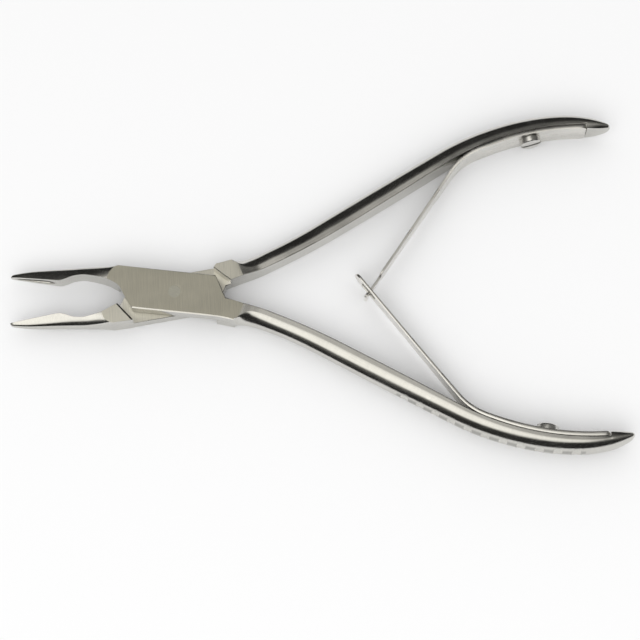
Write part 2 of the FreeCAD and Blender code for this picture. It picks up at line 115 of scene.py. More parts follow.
def path_point(run):
    """Point and slope of a handle's inner face, y counted away from the tool's axis."""
    middle = PATH_ANGLE + FIRST_TURN
    first_run = FIRST_RADIUS * FIRST_TURN
    end = middle - SECOND_TURN
    second_run = SECOND_RADIUS * SECOND_TURN
    x, y = PATH_START
    here = PATH_ANGLE + min(run, first_run) / FIRST_RADIUS
    x += FIRST_RADIUS * (math.sin(here) - math.sin(PATH_ANGLE))
    y -= FIRST_RADIUS * (math.cos(here) - math.cos(PATH_ANGLE))
    if run <= first_run:
        return x, y, here
    along = min(run - first_run, STRAIGHT_RUN)
    x += along * math.cos(middle)
    y += along * math.sin(middle)
    if run <= first_run + STRAIGHT_RUN:
        return x, y, middle
    here = middle - min(run - first_run - STRAIGHT_RUN, second_run) / SECOND_RADIUS
    x -= SECOND_RADIUS * (math.sin(here) - math.sin(middle))
    y += SECOND_RADIUS * (math.cos(here) - math.cos(middle))
    along = max(0.0, run - first_run - STRAIGHT_RUN - second_run)
    return x + along * math.cos(end), y + along * math.sin(end), here


def beside(run, out):
    """Point in the plan, jaw up: `out` mm outside the handle's inner face."""
    x, y, slope = path_point(run)
    return x - out * math.sin(slope), -(y + out * math.cos(slope))


def to_rest(points, hand):
    """Closed plan with the jaw up, in mm, to the rest pose of that arm, in metres."""
    c, s = math.cos(HALF_OPEN), math.sin(HALF_OPEN)
    return [((x * c + y * s) * MM, (y * c - x * s) * hand * MM, z * MM) for x, y, z in points]


def walk(plan, distance):
    """Point at a distance along a polyline."""
    for a, b in zip(plan, plan[1:]):
        span = math.dist(a, b)
        if distance <= span or b is plan[-1]:
            return mix(a[0], b[0], distance / span), mix(a[1], b[1], distance / span)
        distance -= span


def new_object(name, points, faces, strip=None):
    """`strip` gives each face corner its place along and across the piece, in mm."""
    mesh = bpy.data.meshes.new(name)
    mesh.from_pydata(points, [], faces)
    if strip:
        layer = mesh.uv_layers.new(name="Strip")
        layer.data.foreach_set("uv", [c for pair in strip for c in pair])
    b = bmesh.new()
    b.from_mesh(mesh)
    bmesh.ops.remove_doubles(b, verts=b.verts, dist=WELD)
    bmesh.ops.dissolve_degenerate(b, edges=b.edges, dist=WELD)
    bmesh.ops.recalc_face_normals(b, faces=b.faces)
    b.to_mesh(mesh)
    b.free()
    thing = bpy.data.objects.new(name, mesh)
    scene.collection.objects.link(thing)
    return thing


def crease(thing, sharp=35.0, flats=False):
    """Smooth shading with sharp edges by angle and, with `flats`, all round level faces."""
    b = bmesh.new()
    b.from_mesh(thing.data)
    for face in b.faces:
        face.smooth = True
    for edge in b.edges:
        if len(edge.link_faces) != 2:
            edge.smooth = False
            continue
        bend = edge.calc_face_angle(0)
        level = [flats and abs(face.normal.z) > LEVEL for face in edge.link_faces]
        edge.smooth = bend < math.radians(sharp) and (level[0] == level[1] or bend < LEAST_CREASE)
    b.to_mesh(thing.data)
    b.free()


# ---------------------------------------------------------------- arms
# x, thickness above the rim, width of the jaw
JAW = (
    (-36.0, 0.45, 1.1), (-35.75, 0.72, 1.45), (-35.0, 0.98, 1.8), (-32.0, 1.78, 2.7),
    (-28.5, 2.45, 3.5), (-24.0, 3.25, 4.35), (-19.5, 4.05, 4.95), (-16.0, 4.48, 5.25),
    (-14.6, 4.58, 5.35), (-12.9, 4.65, 5.4), (-9.0, 4.65, 5.4),
)
# x, height of the jaw's inner edge above the rim plane
INNER = (
    (-36.0, 0.06), (-25.9, 0.06), (-25.2, 0.12), (-24.2, 0.5), (-22.2, 1.5), (-20.0, 1.93),
    (-17.2, 1.78), (-14.6, 1.32), (-13.3, 0.85), (-12.5, 0.4),
)
# x, height of the throat's edge, from the jaw's root down to the lap's long edge
THROAT = ((-12.5, 0.4), (-11.75, -0.35), (-10.85, -1.7), (-9.75, -3.25), (-8.6, -4.65))
THROAT_RINGS = 12
RIM = 0.06
JAW_TIP = (-36.0, -35.9, -35.75, -35.5)
JAW_STEP = 0.25
# The jaw's back narrows outwards by JAW_LEAN, which fades between these distances to the root.
JAW_LEAN = 0.2
LEAN_FADES = (14.5, 21.0)
# Exponent of the jaw's round back, and how much it grows towards the tip.
JAW_ROUND = 3.8
TIP_SQUARER = 1.5
SQUARER_FROM = (22, 35)
# Where the jaw's round back ends in the flat root: x, share of the way to the outer edge.
RUN_OUT = ((-14.6, 0.0), (-14.68, 0.12), (-14.66, 0.25), (-14.5, 0.5), (-14.1, 0.72),
           (-13.6, 0.88), (-12.9, 1.0))
RUN_OUT_FROM = -19.0
RUN_OUT_POWER = 3.0
RUN_OUT_RINGS = 30
RUN_OUT_EASE = 1.3
REAR_SHIFT = -1.3

# Edge radii.  A negative one is the width of a shallow ground bevel.
KEEN = 0.01
RIM_EDGE = 0.05
FINE_EDGE = 0.06
THROAT_EDGE = 0.08
LONG_EDGE = 0.1
CORNER_EDGE = 0.18
SLIDE_EDGE = 0.28
LAP_BEVEL = -0.34
BEVEL_SLOPE = 0.3

# The half lap: the long edges stand LAP_HALF from the axis, between the shoulder and the heel.
LAP_HALF = 4.65
SHOULDER_X = -9.75
SHOULDER_BACK = (-0.36, 0.1)
SHOULDER_DROP = 0.16
LAP_FROM = -7.6
LAP_TO = 7.6
LAP_TOP_TO = 8.35
LAP_RINGS = 24
JOIN = 0.01
SLIDE = ((9.3, 3.05), (10.3, 1.3), (11.2, -0.2))
SLIDE_FOOT = 8.7
FRONT_HEEL_X = 9.6
HEEL_X = 9.85
HEEL_TOP_X = 12.35
HEEL_RUN = 0.95
HEEL_CORNER = (9.15, -3.95)
HEEL_BACK = (0.13, -0.12)
HEEL_DROP = 0.12

# run along the handle, metal thickness, width of the inner face, exponent of its round back
HANDLE = (
    (1.0, 4.3, 5.6, 2.0), (3.2, 4.2, 5.6, 1.7), (6.0, 3.75, 5.2, 1.8), (8.0, 3.55, 4.85, 1.9),
    (14.0, 3.5, 4.5, 2.1), (27.0, 3.8, 4.6, 2.1), (41.0, 3.9, 5.15, 2.1),
    (55.0, 3.85, 5.95, 2.15), (67.0, 3.65, 6.1, 2.2), (76.0, 3.5, 6.1, 2.2),
    (83.0, 3.2, 6.1, 2.15), (88.0, 2.55, 5.9, 2.1), (90.0, 2.05, 5.4, 2.05),
    (91.5, 1.5, 4.5, 1.9), (92.6, 0.95, 3.2, 1.9), (93.0, 0.55, 2.2, 1.9), (93.2, 0.2, 0.9, 2.0),
)
# run, width of the flat strip along the inner edge
STRIP = ((2.9, 4.2), (3.5, 3.45), (4.2, 2.5), (5.2, 1.45), (6.4, 0.9), (9.0, 0.7), (60.0, 0.75),
         (82.0, 0.78), (86.0, 0.65), (90.0, 0.35), (93.0, 0.15))
# run, how far the inner face of the slimmer part behind the joint stands in from the path
WAIST = ((3.4, 0.0), (9.0, 0.4), (30.0, 0.4), (42.0, 0.3), (56.0, 0.0))
# run, how far the rounded end stands in past the leaf's seat
LIP = ((88.1, 0.85), (91.0, 0.75), (92.5, 0.55), (93.2, 0.3))
TIP_DOME = 0.3
DOME_GROWS = (86.5, 92.5)
TIP_LIFT = ((88.0, 0.0), (90.0, 0.15), (91.5, 0.45), (92.6, 0.8), (93.2, 1.1))
SEAT_END = 88.1
SEAT_STEP = 0.001
HANDLE_START = 12.0
HANDLE_FROM = 1.3
# The handle's first section reaches FOOT_END and is FOOT_THICK thick there.
FOOT_END = 3.2
FOOT_THICK = 4.2
HANDLE_RISES = (5.0, 14.0)
LAP_EDGE_FADES = (2, 4)
# first run, step, number of sections
HANDLE_SPANS = ((HANDLE_FROM, 0.3, 30), (10.5, 1.0, 32), (42.0, 0.25, 160), (82.2, 0.45, 13))
END_RUNS = (88.5, 89.2, 90.0, 90.8, 91.4, 91.9, 92.3, 92.65, 92.85, 93.0, 93.1, 93.17, 93.2)
EDGE_BEVEL = 0.18
BEVEL_GROWS = (4, 12)
FULL_BEVEL_WIDTH = 4
LEAST_ROUND = 0.05
GROOVE_FIRST = 44.0
GROOVE_PITCH = 3.7
GROOVES = [GROOVE_FIRST + GROOVE_PITCH * k for k in range(11)]
GROOVE_RADIUS = 1.35
GROOVE_DEPTH = 0.42
# x, radius of the scoop in the jaw's rim
CUP = ((-35.1, 0.02), (-34.4, 0.25), (-32.6, 0.58), (-30.4, 0.88), (-28.6, 1.0), (-27.8, 0.96),
       (-27.3, 0.84), (-26.9, 0.66), (-26.6, 0.44), (-26.4, 0.24), (-26.2, 0.02))

# Columns of a section: across its top, down its high edge, over the scoop, along the strip.
ACROSS = 34
WALL = 10
SCOOP = 18
STRIP_COLUMNS = 8
# A rounded edge turns by ROUND_TURN degrees from one of its columns to the next.
ROUND_STEPS = 3
ROUND_TURN = 30
HIGH_EDGE = ACROSS + 2 * ROUND_STEPS
# Where the low edge starts among the columns, and how wide a column is on the grain's map.
GRIP_COLUMN = 2 * (HIGH_EDGE + 1) + WALL - 1
COLUMN = 0.15
# Where the strip's columns may start, as shares of the way from edge to edge.
SPLIT = (0.1, 0.95)


def spread(count):
    return [(1 - math.cos(math.pi * k / count)) / 2 for k in range(count + 1)]


def round_back(share, exponent):
    return (1 - clamp(share) ** exponent) ** (1 / exponent)


def eased(d, edge):
    """How far an edge lies below the face, `d` from the side.  A positive `edge` is the
    radius of a rounded edge, a negative one the width of a shallow ground bevel."""
    if d >= abs(edge):
        return 0.0
    if edge < 0:
        return BEVEL_SLOPE * (-edge - d)
    return edge - math.sqrt(edge**2 - (edge - d) ** 2)


def ring(plan, front, rear, edge_low, edge_high, hollow=0.0, strip=0.0):
    """One closed section.  `plan` is a polyline from the low edge to the high edge; `front`
    and `rear` give heights by the distance from the low edge.  `hollow` is the radius of a
    round scoop in the low side; `strip` puts a column that far from the high edge."""
    length = sum(math.dist(a, b) for a, b in zip(plan, plan[1:]))
    turn = [1 - math.cos(math.radians(ROUND_TURN * k)) for k in range(ROUND_STEPS)]
    low, high = abs(edge_low), abs(edge_high)
    stops = [low * t for t in turn]
    if strip:
        least, most = (mix(low, length - high, share) for share in SPLIT)
        split = clamp(length - strip, least, most)
        stops += [mix(low, split, w) for w in spread(ACROSS - STRIP_COLUMNS)]
        stops += [mix(split, length - high, w) for w in spread(STRIP_COLUMNS)][1:]
    else:
        stops += [mix(low, length - high, w) for w in spread(ACROSS)]
    stops += [length - high * t for t in reversed(turn)]

    tops, bottoms = [], []
    for d in stops:
        x, y = walk(plan, d)
        roof, foot = front(d, length), rear(d, length)
        cut = max(eased(d, edge_low), eased(length - d, edge_high))
        tops.append((x, y, max(roof - cut, (roof + foot) / 2)))
        bottoms.append((x, y, min(foot + cut, (roof + foot) / 2)))
    points = list(tops)
    x, y, roof = tops[-1]
    foot = bottoms[-1][2]
    points += [(x, y, mix(roof, foot, k / WALL)) for k in range(1, WALL)]
    points += reversed(bottoms)

    x, y, foot = bottoms[0]
    roof = tops[0][2]
    middle = (foot + roof) / 2
    reach = min(hollow, (roof - foot) / 2 - RIM_EDGE) if hollow else (roof - foot) / 3
    steps = ROUND_STEPS + 1
    points += [(x, y, mix(foot, middle - reach, k / steps)) for k in range(1, steps)]
    for k in range(SCOOP + 1):
        angle = math.pi * (k / SCOOP - 0.5)
        points.append((x, y + hollow * math.cos(angle), middle + reach * math.sin(angle)))
    points += [(x, y, mix(middle + reach, roof, k / steps)) for k in range(1, steps)]
    return points


def jaw_ring(plan, run_out, radius=0.0):
    """Section of a jaw.  `run_out` goes from 0 on the free jaw to 1 at its flat root."""

    def half(d):
        x, y = walk(plan, d)
        share = clamp((y - RIM) / (plan[-1][1] - RIM))
        power = JAW_ROUND + TIP_SQUARER * smooth(-x, *SQUARER_FROM)
        lean = JAW_LEAN * smooth(-x, *LEAN_FADES)
        body = table(JAW, x, 2) / 2 * (1 - lean * share) * round_back(share, power)
        return mix(body, MIDDLE, run_out**RUN_OUT_POWER)

    return ring(plan, lambda d, n: MIDDLE + half(d), lambda d, n: MIDDLE - half(d),
                RIM_EDGE, KEEN, radius)


def level_at(height):
    return lambda d, n: height


def shifted(plan, by):
    return [(x + by[0], y + by[1]) for x, y in plan]


def jaw_rings(shift):
    """Half round on the rim plane, run out where it grows into the joint."""
    rings = []
    first = JAW_TIP[-1] + JAW_STEP
    count = int((RUN_OUT_FROM + shift - first) / JAW_STEP) + 1
    xs = [*JAW_TIP, *(first + JAW_STEP * k for k in range(count))]
    for x in xs:
        radius = table(CUP, x) if CUP[0][0] < x < CUP[-1][0] else 0.0
        rings.append(jaw_ring([(x, table(INNER, x)), (x, table(JAW, x))], 0.0, radius))
    root = RUN_OUT[0][0] + shift
    for k in range(1, RUN_OUT_RINGS + 1):
        u = 1 - (1 - k / RUN_OUT_RINGS) ** RUN_OUT_EASE
        x = mix(xs[-1], root, u)
        plan = [(x + (px - RUN_OUT[0][0]) * u, share) for px, share in RUN_OUT]
        foot, top = table(INNER, plan[0][0]), table(JAW, plan[-1][0])
        rings.append(jaw_ring([(px, mix(foot, top, share)) for px, share in plan], u))
    return rings


def lap_rings(in_front):
    """Root of the jaw up to the shoulder, the half lap, and the heel where the handle starts."""
    block, base = level_at(DEPTH), level_at(0.0)
    front = level_at(DEPTH if in_front else MIDDLE - LAP_GAP / 2)
    rear = level_at(MIDDLE + LAP_GAP / 2 if in_front else 0.0)
    square = LAP_BEVEL if in_front else FINE_EDGE

    shoulder = [THROAT[0], (SHOULDER_X, LAP_HALF)]
    if in_front:
        rings = [ring(shoulder, block, base, RIM_EDGE, LONG_EDGE)]
    else:
        back = shifted(shoulder, SHOULDER_BACK)
        rings = [ring(back, block, base, RIM_EDGE, LONG_EDGE),
                 ring(shoulder, level_at(DEPTH - SHOULDER_DROP), base, RIM_EDGE, LONG_EDGE)]
    rings.append(ring(shoulder, front, rear, RIM_EDGE, LONG_EDGE))
    for k in range(1, THROAT_RINGS + 1):
        u = k / THROAT_RINGS
        x = mix(THROAT[0][0], THROAT[-1][0], u)
        edge = mix(RIM_EDGE, THROAT_EDGE, u) if square > 0 or u < 1 else square
        rings.append(ring([(x, table(THROAT, x)), (mix(SHOULDER_X, LAP_FROM, u), LAP_HALF)],
                          front, rear, edge, LONG_EDGE))
    for k in range(LAP_RINGS + 1):
        u = k / LAP_RINGS
        low = (mix(THROAT[-1][0] + JOIN, LAP_TO, u), -LAP_HALF)
        high = (mix(LAP_FROM + JOIN, LAP_TOP_TO, u), LAP_HALF)
        edge = mix(LONG_EDGE, CORNER_EDGE, smooth(u, 0, 0.1))
        rings.append(ring([low, high], front, rear, square, edge))
    for k, high in enumerate(SLIDE, start=1):
        u = k / len(SLIDE)
        low = (mix(LAP_TO, SLIDE_FOOT, u), -LAP_HALF)
        rings.append(ring([low, high], front, rear, square, mix(CORNER_EDGE, SLIDE_EDGE, u)))

    top = (HEEL_TOP_X, -path_point(HEEL_RUN)[1])
    if in_front:
        wall = [(FRONT_HEEL_X, -LAP_HALF), top]
        rings.append(ring(wall, front, rear, square, FINE_EDGE))
        rings.append(ring(wall, block, base, square, FINE_EDGE))
    else:
        wall = [(HEEL_X, -LAP_HALF), HEEL_CORNER, top]
        rings.append(ring(wall, front, rear, square, FINE_EDGE))
        rings.append(ring(wall, level_at(DEPTH - HEEL_DROP), base, square, FINE_EDGE))
        rings.append(ring(shifted(wall, HEEL_BACK), block, base, square, FINE_EDGE))
    return rings


def handle_thickness(run):
    """Thickness of the metal in the plan, less where a groove crosses the back."""
    thick = table(HANDLE, run)
    for groove in GROOVES:
        reach = GROOVE_RADIUS**2 - (run - groove) ** 2
        if reach > 0:
            full = table(HANDLE, groove)
            cut = full + GROOVE_RADIUS - GROOVE_DEPTH - math.sqrt(reach)
            thick = min(thick, max(cut, full - GROOVE_DEPTH))
    return thick


def handle_ring(run, square):
    """Section of a handle: flat inner face, rounded back, a flat strip along the edges."""
    full_thick, width, power = (table(HANDLE, run, c) for c in (1, 2, 3))
    lip = table(LIP, run) if run > SEAT_END else table(WAIST, run)
    strip = table(STRIP, run)
    middle = mix(MIDDLE, HANDLE_Z, smooth(run, *HANDLE_RISES)) + table(TIP_LIFT, run)
    if run < FOOT_END:
        u = (run - HEEL_RUN) / (FOOT_END - HEEL_RUN)
        plan = [(mix(HEEL_X, beside(FOOT_END, full_thick)[0], u),
                 mix(-LAP_HALF, beside(FOOT_END, FOOT_THICK)[1], u)), beside(run, 0.0)]
    else:
        plan = [beside(run, handle_thickness(run)), beside(run, -lip)]
    dome = TIP_DOME * smooth(run, *DOME_GROWS)

    def half(d, length):
        past = length - d - lip - strip
        if run < FOOT_END:
            return width / 2
        if past < 0:
            return width / 2 * (1 - dome * (past / (lip + strip)) ** 2)
        return width / 2 * round_back(past / max(full_thick - strip, LEAST_ROUND), power)

    low_edge = mix(square, KEEN, smooth(run, *LAP_EDGE_FADES))
    high_edge = (mix(FINE_EDGE, EDGE_BEVEL, smooth(run, *BEVEL_GROWS))
                 * min(1.0, width / FULL_BEVEL_WIDTH))
    return ring(plan, lambda d, n: middle + half(d, n), lambda d, n: middle - half(d, n),
                low_edge, high_edge, strip=strip + lip)


def arm_rings(hand):
    """Sections of an arm from the jaw tip to the end of the handle, and their places along it."""
    in_front = hand == FRONT_ARM
    rings = jaw_rings(0.0 if in_front else REAR_SHIFT) + lap_rings(in_front)
    along = [(r[0][0] + r[HIGH_EDGE][0]) / 2 for r in rings]
    runs = [start + step * k for start, step, count in HANDLE_SPANS for k in range(count)]
    runs += [SEAT_END, SEAT_END + SEAT_STEP, *END_RUNS]
    square = LAP_BEVEL if in_front else FINE_EDGE
    rings += [handle_ring(run, square) for run in runs]
    return rings, along + [run + (HANDLE_START - HANDLE_FROM) for run in runs]


TURNS = 72
BORE_DEPTH = 6
FRONT_BORE, FRONT_BORE_HEIGHT = 1.355, 4
REAR_BORE, REAR_BORE_HEIGHT = 1.37, 1


def applied(thing):
    """Makes a piece's modifier part of its mesh."""
    bpy.context.view_layer.update()
    graph = bpy.context.evaluated_depsgraph_get()
    result = bpy.data.meshes.new_from_object(thing.evaluated_get(graph))
    thing.modifiers.clear()
    thing.data = result


def apply_cut(thing, b, matrix, name):
    """Cuts the shape in `b` out of a piece."""
    mesh = bpy.data.meshes.new(name)
    b.to_mesh(mesh)
    b.free()
    cutter = bpy.data.objects.new(name, mesh)
    cutter.matrix_world = matrix
    scene.collection.objects.link(cutter)
    cut = thing.modifiers.new("Cut", "BOOLEAN")
    cut.object = cutter
    cut.operation = "DIFFERENCE"
    cut.solver = "EXACT"
    applied(thing)
    bpy.data.objects.remove(cutter)


def bored(thing, height, radius, name):
    """Cuts the pivot's round hole into an arm for good, in mm."""
    b = bmesh.new()
    bmesh.ops.create_cone(b, cap_ends=True, segments=TURNS, radius1=radius * MM,
                          radius2=radius * MM, depth=BORE_DEPTH * MM)
    apply_cut(thing, b, Matrix.Translation((0, 0, height * MM)), name)


def make_arm(name, hand):
    """Skins an arm's sections, with the grain's map over them."""
    rings, along = arm_rings(hand)
    count = len(rings[0])
    points = [p for r in rings for p in r]
    faces, strip = [], []
    for i in range(len(rings) - 1):
        for j in range(count):
            k = (j + 1) % count
            faces.append((i * count + j, i * count + k, (i + 1) * count + k, (i + 1) * count + j))
            low, high = j * COLUMN, (j + 1) * COLUMN
            here, ahead = along[i], along[i + 1]
            strip += [(here, low), (here, high), (ahead, high), (ahead, low)]
    last = (len(rings) - 1) * count
    for first in (0, last):
        faces.append(tuple(first + j for j in range(count)))
        strip += [(p[0], p[1]) for p in points[first:first + count]]
    return new_object(name, to_rest(points, hand), faces, strip)


arm_front = make_arm("FrontArm", FRONT_ARM)
arm_rear = make_arm("RearArm", REAR_ARM)
bored(arm_front, FRONT_BORE_HEIGHT, FRONT_BORE, "BoreA")
bored(arm_rear, REAR_BORE_HEIGHT, REAR_BORE, "BoreB")
for arm, body, node in (
    (arm_front, "front_arm", "arm_front"),
    (arm_rear, "rear_arm", "arm_rear"),
):
    crease(arm, flats=True)
    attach(arm, body)
    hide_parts(node)


# ---------------------------------------------------------------- leaf springs
LEAF_THICK = 0.9
LEAF_SEAT = 0.03
LEAF_END = 87.9
LEAF_BEND = 14.0
# run where a leaf leaves its handle, and the slope of its free blade at rest
LEAVE = {FRONT_ARM: 61.0, REAR_ARM: 62.6}
BLADE_ANGLE = {FRONT_ARM: math.radians(53.9), REAR_ARM: math.radians(54.6)}
LEAF_CORNER = 1.0
LEAF_CORNER_DROP = 0.8
LEAF_CORNER_TURNS = [math.radians(10 * k) for k in range(9)]
LEAF_EDGE = 0.08
EDGE_ANGLE = math.radians(50)
LEAF_CREASE = 25.0
LEAF_STEP = 0.8
# distance from the screwed end, width
LEAF_WIDTH = ((0.0, 6.0), (22.0, 6.0), (29.0, 5.4), (36.0, 4.5), (46.0, 3.9), (56.0, 3.58),
              (100.0, 3.56))
# From here on, distances are counted from the end of the leaf's bend.
# distance, thickness
LEAF_TAPER = ((-14.0, 0.9), (0.0, 0.72), (8.0, 0.58), (20.0, 0.52), (36.0, 0.5))
BLADE_COLUMNS = (0.0, 0.8, 1.8, 3.0, 4.5, *(6.0 + 2.0 * k for k in range(11)), 27.4)
BEND_FROM, BEND_TO = -4.0, 8.0
WINDOW = (28.4, 32.8)
WINDOW_COLUMNS = (28.0, WINDOW[0], 29.5, 31.0, WINDOW[1])
EYE_END = 35.4
EYE_RADIUS = 1.78
EYE_TURN = math.radians(88)
EYE_STEPS = 8
EYE_LEAST = 0.12
NECK = 28.2
NECK_END = 28.45
NECK_NARROWS = 0.93
TONGUE_HALF = 0.75
HOOK = (33.6, 34.6)
HOOK_HALF = 1.55
# distance, half width, from the neck to the end of the cross bar
TONGUE = ((28.7, TONGUE_HALF * 1.25), (29.0, TONGUE_HALF), (30.5, TONGUE_HALF),
          (32.0, TONGUE_HALF), (HOOK[0], TONGUE_HALF), (HOOK[0], HOOK_HALF),
          (HOOK[1] - 0.15, HOOK_HALF), (HOOK[1], HOOK_HALF - 0.2))
ROWS = (-1.0, -0.93, -0.78, -0.55, -0.2, 0.2, 0.55, 0.78, 0.93, 1.0)
WINDOW_ROWS = (3, 6)


def leaf_line(hand):
    """Middle line of a leaf in the closed plan, as a function that gives the point and slope
    at a distance from its screwed end, and the distance where its bend ends."""
    bend_start = FIRST_RADIUS * FIRST_TURN + STRAIGHT_RUN
    x, y, slope = path_point(bend_start)
    centre = (x + SECOND_RADIUS * math.sin(slope), y - SECOND_RADIUS * math.cos(slope))
    radius = SECOND_RADIUS - LEAF_SEAT - LEAF_THICK / 2
    leave = path_point(LEAVE[hand])
    end = BLADE_ANGLE[hand] - HALF_OPEN
    gap = LEAF_BEND + LEAF_SEAT
    bend_centre = (leave[0] + gap * math.sin(leave[2]), leave[1] - gap * math.cos(leave[2]))
    bend_radius = LEAF_BEND - LEAF_THICK / 2

    def around(middle, r, at):
        return middle[0] - r * math.sin(at), middle[1] + r * math.cos(at)

    first = path_point(LEAF_END)[2]
    seat_length = radius * (leave[2] - first)
    bend_length = bend_radius * (end - leave[2])
    hinge = around(bend_centre, bend_radius, end)

    def at(distance):
        if distance <= seat_length:
            here = first + distance / radius
            return around(centre, radius, here), here
        if distance <= seat_length + bend_length:
            here = leave[2] + (distance - seat_length) / bend_radius
            return around(bend_centre, bend_radius, here), here
        free = distance - seat_length - bend_length
        return (hinge[0] - free * math.cos(end), hinge[1] - free * math.sin(end)), end

    return at, seat_length + bend_length


def make_leaf(name, hand, hooked):
    """A bent strip that ends in a cross bar, with `hooked`, or else in a window and an eye.
    Also gives the two points between which it bends."""
    at, root = leaf_line(hand)
    stops = [LEAF_CORNER * (1 - math.cos(turned)) for turned in LEAF_CORNER_TURNS]
    stops += [LEAF_CORNER + LEAF_STEP * k for k in range(int((root - LEAF_CORNER) / LEAF_STEP))]
    stops += [root + past for past in BLADE_COLUMNS]

    def half_width(distance):
        inset = max(0.0, 1 - distance / LEAF_CORNER)
        corner = LEAF_CORNER_DROP * (1 - math.sqrt(1 - inset**2))
        return table(LEAF_WIDTH, distance) / 2 - corner

    columns = [(d, half_width(d)) for d in stops]
    wide = half_width(root + NECK)
    if hooked:
        columns += [(root + NECK, wide), (root + NECK_END, wide * NECK_NARROWS)]
        columns += [(root + past, half) for past, half in TONGUE]
    else:
        columns += [(root + past, wide) for past in (*WINDOW_COLUMNS, EYE_END - EYE_RADIUS)]
        for k in range(1, EYE_STEPS + 1):
            angle = EYE_TURN * k / EYE_STEPS
            columns.append((root + EYE_END - EYE_RADIUS * (1 - math.sin(angle)),
                            max(EYE_RADIUS * math.cos(angle), EYE_LEAST)))
    points, faces, flat_place = [], [], []
    rows = len(ROWS)
    for side in (1, -1):
        for distance, half in columns:
            (x, y), slope = at(distance)
            past = distance - root
            thick = table(LEAF_TAPER, past)
            out = side * thick / 2
            px, py = x - out * math.sin(slope), y + out * math.cos(slope)
            points += [(px, -py, HANDLE_Z + v * half) for v in ROWS]
            flat_place += [(distance, v * half) for v in ROWS]
    size = rows * len(columns)
    cells = []
    for c in range(len(columns) - 1):
        middle = (columns[c][0] + columns[c + 1][0]) / 2 - root
        for r in range(rows - 1):
            holed = (not hooked and WINDOW[0] < middle < WINDOW[1]
                     and WINDOW_ROWS[0] <= r < WINDOW_ROWS[1])
            if not holed:
                here, ahead = c * rows + r, (c + 1) * rows + r
                cells.append((here, here + 1, ahead + 1, ahead))
    # A side of a cell that no other cell shares is on the strip's rim.
    rims = {}
    for cell in cells:
        faces.append(cell)
        faces.append(tuple(size + v for v in reversed(cell)))
        for a, b in zip(cell, cell[1:] + cell[:1]):
            if (b, a) in rims:
                del rims[(b, a)]
            else:
                rims[(a, b)] = True
    for a, b in rims:
        faces.append((b, a, size + a, size + b))
    strip = [flat_place[v] for face in faces for v in face]
    leaf = new_object(name, to_rest(points, hand), faces, strip)
    round_edges(leaf, LEAF_EDGE * MM)
    crease(leaf, LEAF_CREASE)

    def spot(distance):
        (x, y), slope = at(distance)
        return to_rest([(x, -y, HANDLE_Z)], hand)[0]

    return leaf, spot(root + BEND_FROM), spot(root + BEND_TO)


def round_edges(thing, width):
    """Rounds the sharp edges of a mesh for good."""
    soft = thing.modifiers.new("Edges", "BEVEL")
    soft.width = width
    soft.segments = 2
    soft.limit_method = "ANGLE"
    soft.angle_limit = EDGE_ANGLE
    soft.harden_normals = False
    applied(thing)


leaf_lower, lower_from, lower_to = make_leaf("LowerLeafSpring", FRONT_ARM, False)
leaf_upper, upper_from, upper_to = make_leaf("UpperLeafSpring", REAR_ARM, True)
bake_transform(leaf_lower)
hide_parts("spring_lower_root", "spring_lower_blade")
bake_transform(leaf_upper)
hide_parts("spring_upper_root", "spring_upper_blade")


# ---------------------------------------------------------------- screws and rivet
SCREW_AT = {FRONT_ARM: 74.7, REAR_ARM: 75.3}
SLOT_SWING = {FRONT_ARM: math.radians(15), REAR_ARM: math.radians(12)}
SCREW_TOP = 2.46
# radius, height
SCREW_PROFILE = (
    (0.0, -2.25), (1.0, -2.25), (1.2, -2.05), (1.2, 0.96), (2.24, 0.96), (2.3, 1.02),
    (2.3, 2.0), (2.27, 2.16), (2.18, 2.28), (2.0, 2.36), (1.6, 2.41), (1.0, 2.45),
    (0.5, SCREW_TOP), (0.0, SCREW_TOP),
)
SLOT = (6, 0.7, 1.2)
SCREW_CREASE = 30.0
RIVET_CREASE = 40.0
RIVET_PROFILE = (
    (0.0, 0.0), (1.33, 0.0), (1.345, 0.015), (1.345, 5.585), (1.33, DEPTH), (1.1, DEPTH),
    (0.6, DEPTH), (0.0, DEPTH),
)


def turned(name, profile):
    """Solid turned about Z from a profile of radii and heights in mm."""
    points = []
    for k in range(TURNS):
        a = 2 * math.pi * k / TURNS
        points += [(r * math.cos(a) * MM, r * math.sin(a) * MM, z * MM) for r, z in profile]
    n = len(profile)
    faces = []
    for k in range(TURNS):
        m = (k + 1) % TURNS
        faces += [(k * n + j, m * n + j, m * n + j + 1, k * n + j + 1) for j in range(n - 1)]
    return new_object(name, points, faces)


def make_screw(name, hand):
    """Slotted screw, its head standing in from the handle's inner face."""
    screw = turned(name, SCREW_PROFILE)
    slot = bmesh.new()
    bmesh.ops.create_cube(slot, size=1.0)
    bmesh.ops.scale(slot, vec=Vector(SLOT) * MM, verts=slot.verts)
    bmesh.ops.translate(slot, vec=Vector((0, 0, SCREW_TOP * MM)), verts=slot.verts)
    apply_cut(screw, slot, Matrix.Identity(4), name + "Slot")
    crease(screw, SCREW_CREASE)
    x, y, slope = path_point(SCREW_AT[hand])
    ahead = (x + math.sin(slope), -y + math.cos(slope), HANDLE_Z)
    here, ahead = (Vector(spot) for spot in to_rest([(x, -y, HANDLE_Z), ahead], hand))
    inwards = (ahead - here).normalized()
    across = Vector((0, 0, 1))
    matrix = Matrix((across.cross(inwards), across, inwards)).transposed().to_4x4()
    swing = Matrix.Rotation(SLOT_SWING[hand], 4, "Z")
    screw.matrix_world = Matrix.Translation(here) @ matrix @ swing
    return screw


